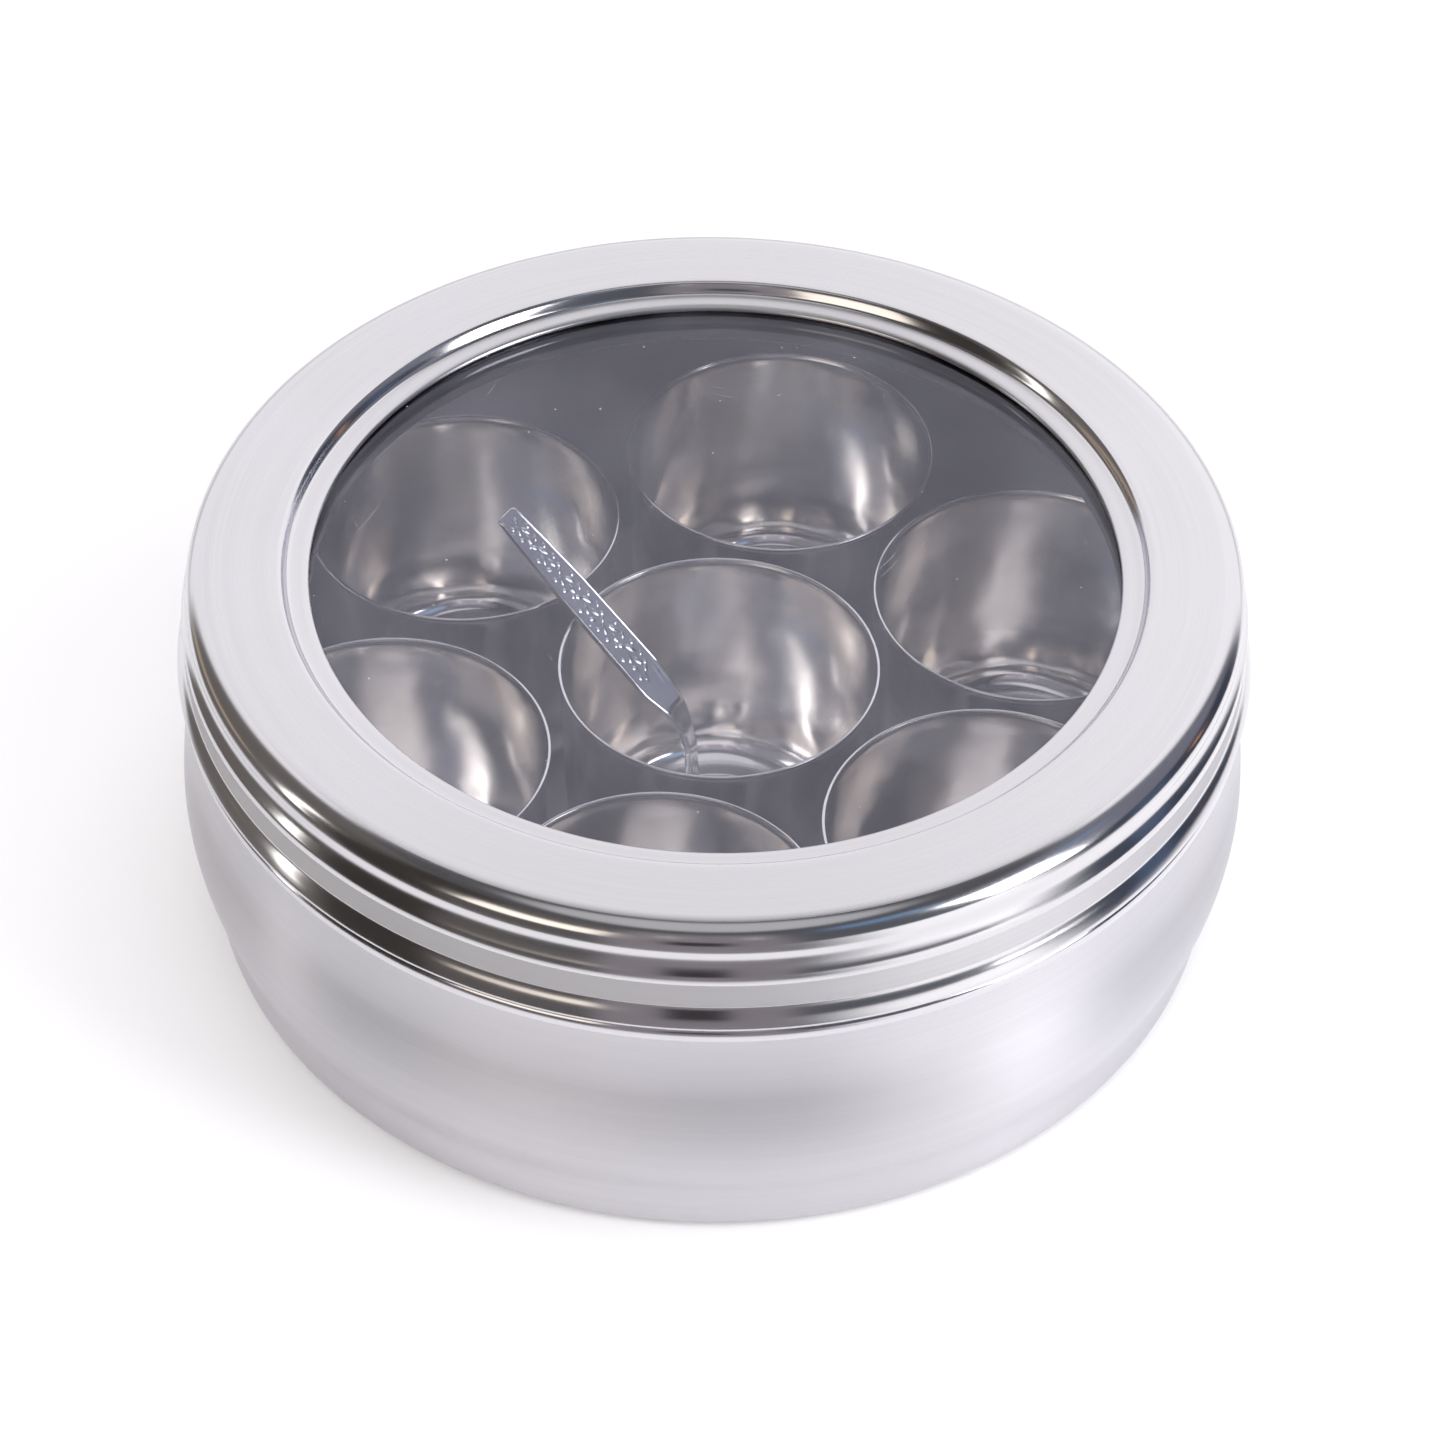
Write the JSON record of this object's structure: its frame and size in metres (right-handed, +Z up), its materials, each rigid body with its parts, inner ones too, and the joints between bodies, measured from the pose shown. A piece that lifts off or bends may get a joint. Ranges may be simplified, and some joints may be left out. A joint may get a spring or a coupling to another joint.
{
  "type": "spice box",
  "caption": "Round steel spice box with a bellied container, lift-off lid with clear window, loose deep bowls and a small ladle spoon.",
  "frame": {"origin": "centre of the flat base, on the table", "axes": "+Z up out of the lid; the front of the box is on -Y; the spoon dips towards +X and -Y"},
  "size_m": [0.1934, 0.1934, 0.0751],
  "materials": {
    "container_steel": "satin belly, polished bead",
    "lid_steel": "polished shoulder and beads, satin top ring and skirt",
    "clear_disc": "clear, glossy",
    "channel_steel": "polished",
    "bowl_steel": "satin with polished rim",
    "spoon_steel": "polished, embossed handle"
  },
  "bodies": {
    "container": {"container": "container_steel"},
    "lid": {"lid_ring": "lid_steel", "window_disc": "clear_disc", "window_channel": "channel_steel"},
    "bowl_centre": {"bowl_centre": "bowl_steel"},
    "bowl_1": {"bowl_1": "bowl_steel"},
    "bowl_2": {"bowl_2": "bowl_steel"},
    "bowl_3": {"bowl_3": "bowl_steel"},
    "bowl_4": {"bowl_4": "bowl_steel"},
    "bowl_5": {"bowl_5": "bowl_steel"},
    "bowl_6": {"bowl_6": "bowl_steel"},
    "spoon": {"spoon": "spoon_steel"}
  },
  "joints": [
    {"name": "lid_lift", "type": "slide", "parent": "container", "child": "lid", "axis": [0, 0, 1], "range_m": [0, 0.15]},
    {"name": "bowl_centre_lift", "type": "slide", "parent": "container", "child": "bowl_centre", "axis": [0, 0, 1], "range_m": [0, 0.0675]},
    {"name": "bowl_1_lift", "type": "slide", "parent": "container", "child": "bowl_1", "axis": [0, 0, 1], "range_m": [0, 0.0675]},
    {"name": "bowl_2_lift", "type": "slide", "parent": "container", "child": "bowl_2", "axis": [0, 0, 1], "range_m": [0, 0.0675]},
    {"name": "bowl_3_lift", "type": "slide", "parent": "container", "child": "bowl_3", "axis": [0, 0, 1], "range_m": [0, 0.0675]},
    {"name": "bowl_4_lift", "type": "slide", "parent": "container", "child": "bowl_4", "axis": [0, 0, 1], "range_m": [0, 0.0675]},
    {"name": "bowl_5_lift", "type": "slide", "parent": "container", "child": "bowl_5", "axis": [0, 0, 1], "range_m": [0, 0.0675]},
    {"name": "bowl_6_lift", "type": "slide", "parent": "container", "child": "bowl_6", "axis": [0, 0, 1], "range_m": [0, 0.0675]},
    {"name": "spoon_lift", "type": "slide", "parent": "bowl_centre", "child": "spoon", "axis": [0, 0, 1], "range_m": [0, 0.0525]}
  ],
  "couplings": [
    {"joint": "bowl_centre_lift", "follows": "lid_lift", "ratio": 0.45},
    {"joint": "bowl_1_lift", "follows": "lid_lift", "ratio": 0.45},
    {"joint": "bowl_2_lift", "follows": "lid_lift", "ratio": 0.45},
    {"joint": "bowl_3_lift", "follows": "lid_lift", "ratio": 0.45},
    {"joint": "bowl_4_lift", "follows": "lid_lift", "ratio": 0.45},
    {"joint": "bowl_5_lift", "follows": "lid_lift", "ratio": 0.45},
    {"joint": "bowl_6_lift", "follows": "lid_lift", "ratio": 0.45},
    {"joint": "spoon_lift", "follows": "lid_lift", "ratio": 0.35}
  ]
}
